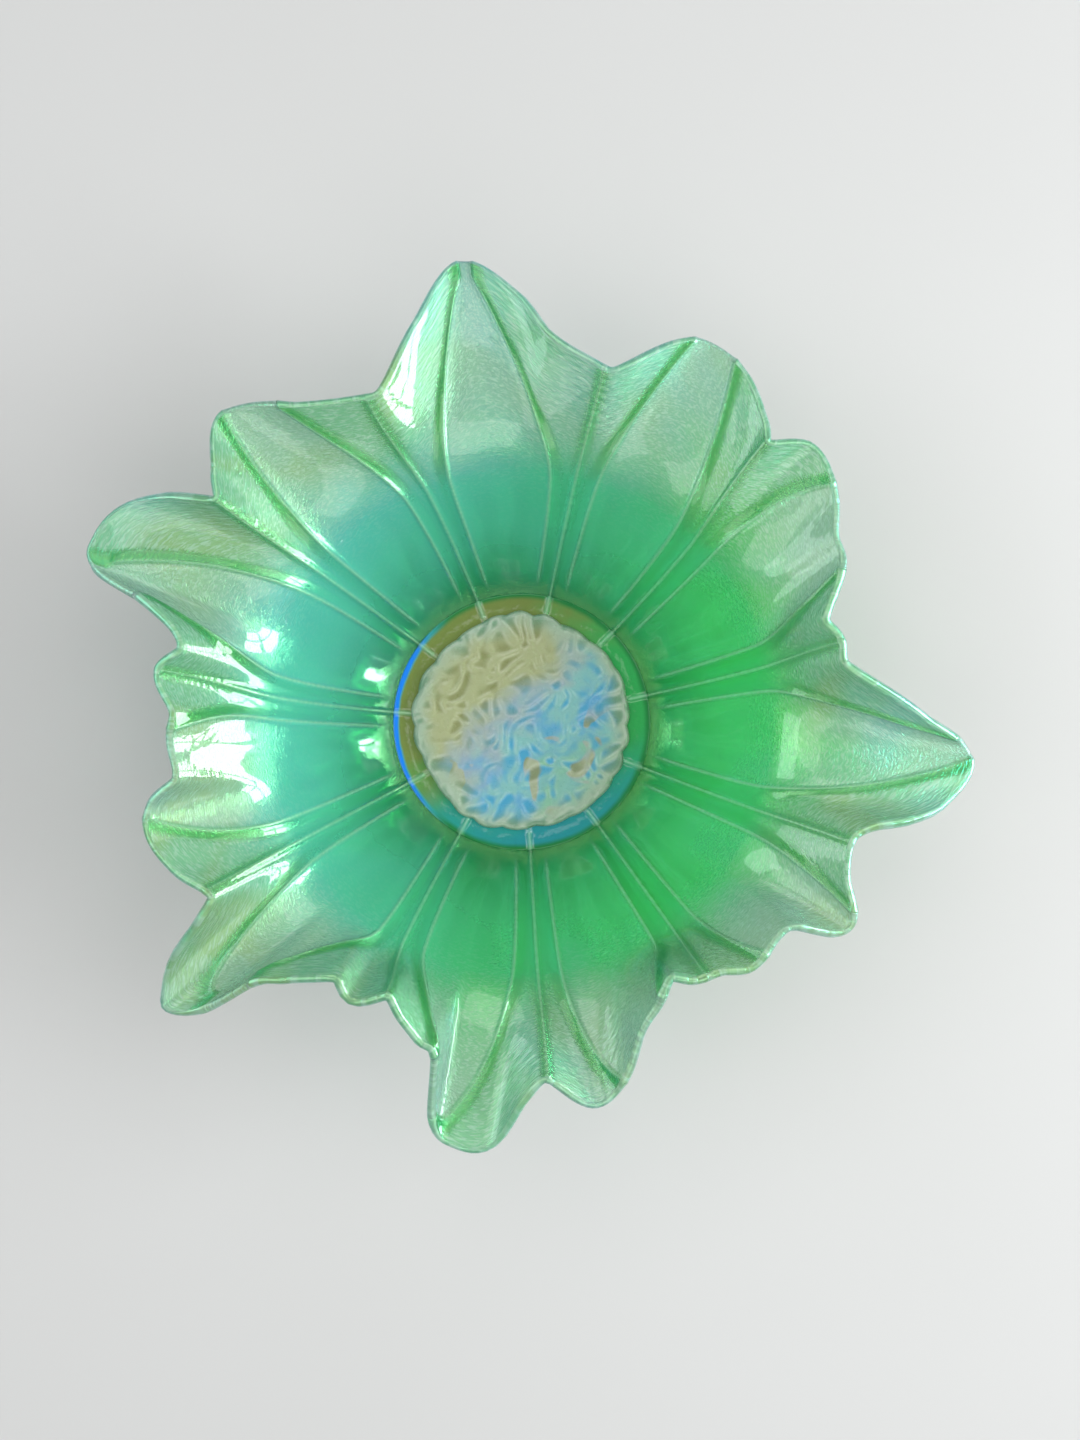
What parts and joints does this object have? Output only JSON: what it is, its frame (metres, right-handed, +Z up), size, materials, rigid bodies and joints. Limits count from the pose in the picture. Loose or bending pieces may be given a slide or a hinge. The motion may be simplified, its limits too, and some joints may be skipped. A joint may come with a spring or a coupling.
{
  "type": "bowl",
  "caption": "Shallow glass bowl shaped as an open flower, with pointed petals round a curled centre, a hand-ruffled rim and a low round foot.",
  "frame": {"origin": "on the axis of the round collar foot, on the surface that the bowl stands on", "axes": "+Z up out of the bowl's mouth; +X to the right and +Y away from someone who faces the bowl, with front_petal_01 4.4 degrees short of +X"},
  "size_m": [0.244, 0.2461, 0.0684],
  "materials": {
    "front_petal_glass": "pearly iridescent film over green glass, gloss",
    "back_petal_glass": "pearly iridescent film over green glass, gloss",
    "base_glass": "green glass, gloss",
    "centre_glass": "gold and blue iridescent film over green glass, satin"
  },
  "bodies": {
    "root": {"foot_ring": "base_glass", "bowl_floor": "base_glass", "flower_centre": "centre_glass", "stamen_curls": "centre_glass", "front_petal_01": "front_petal_glass", "front_petal_02": "front_petal_glass", "front_petal_03": "front_petal_glass", "front_petal_04": "front_petal_glass", "front_petal_05": "front_petal_glass", "front_petal_06": "front_petal_glass", "front_petal_07": "front_petal_glass", "front_petal_08": "front_petal_glass", "front_petal_09": "front_petal_glass", "front_petal_10": "front_petal_glass", "front_petal_11": "front_petal_glass", "back_petal_01": "back_petal_glass", "back_petal_02": "back_petal_glass", "back_petal_03": "back_petal_glass", "back_petal_04": "back_petal_glass", "back_petal_05": "back_petal_glass", "back_petal_06": "back_petal_glass", "back_petal_07": "back_petal_glass", "back_petal_08": "back_petal_glass", "back_petal_09": "back_petal_glass", "back_petal_10": "back_petal_glass", "back_petal_11": "back_petal_glass"}
  },
  "joints": []
}
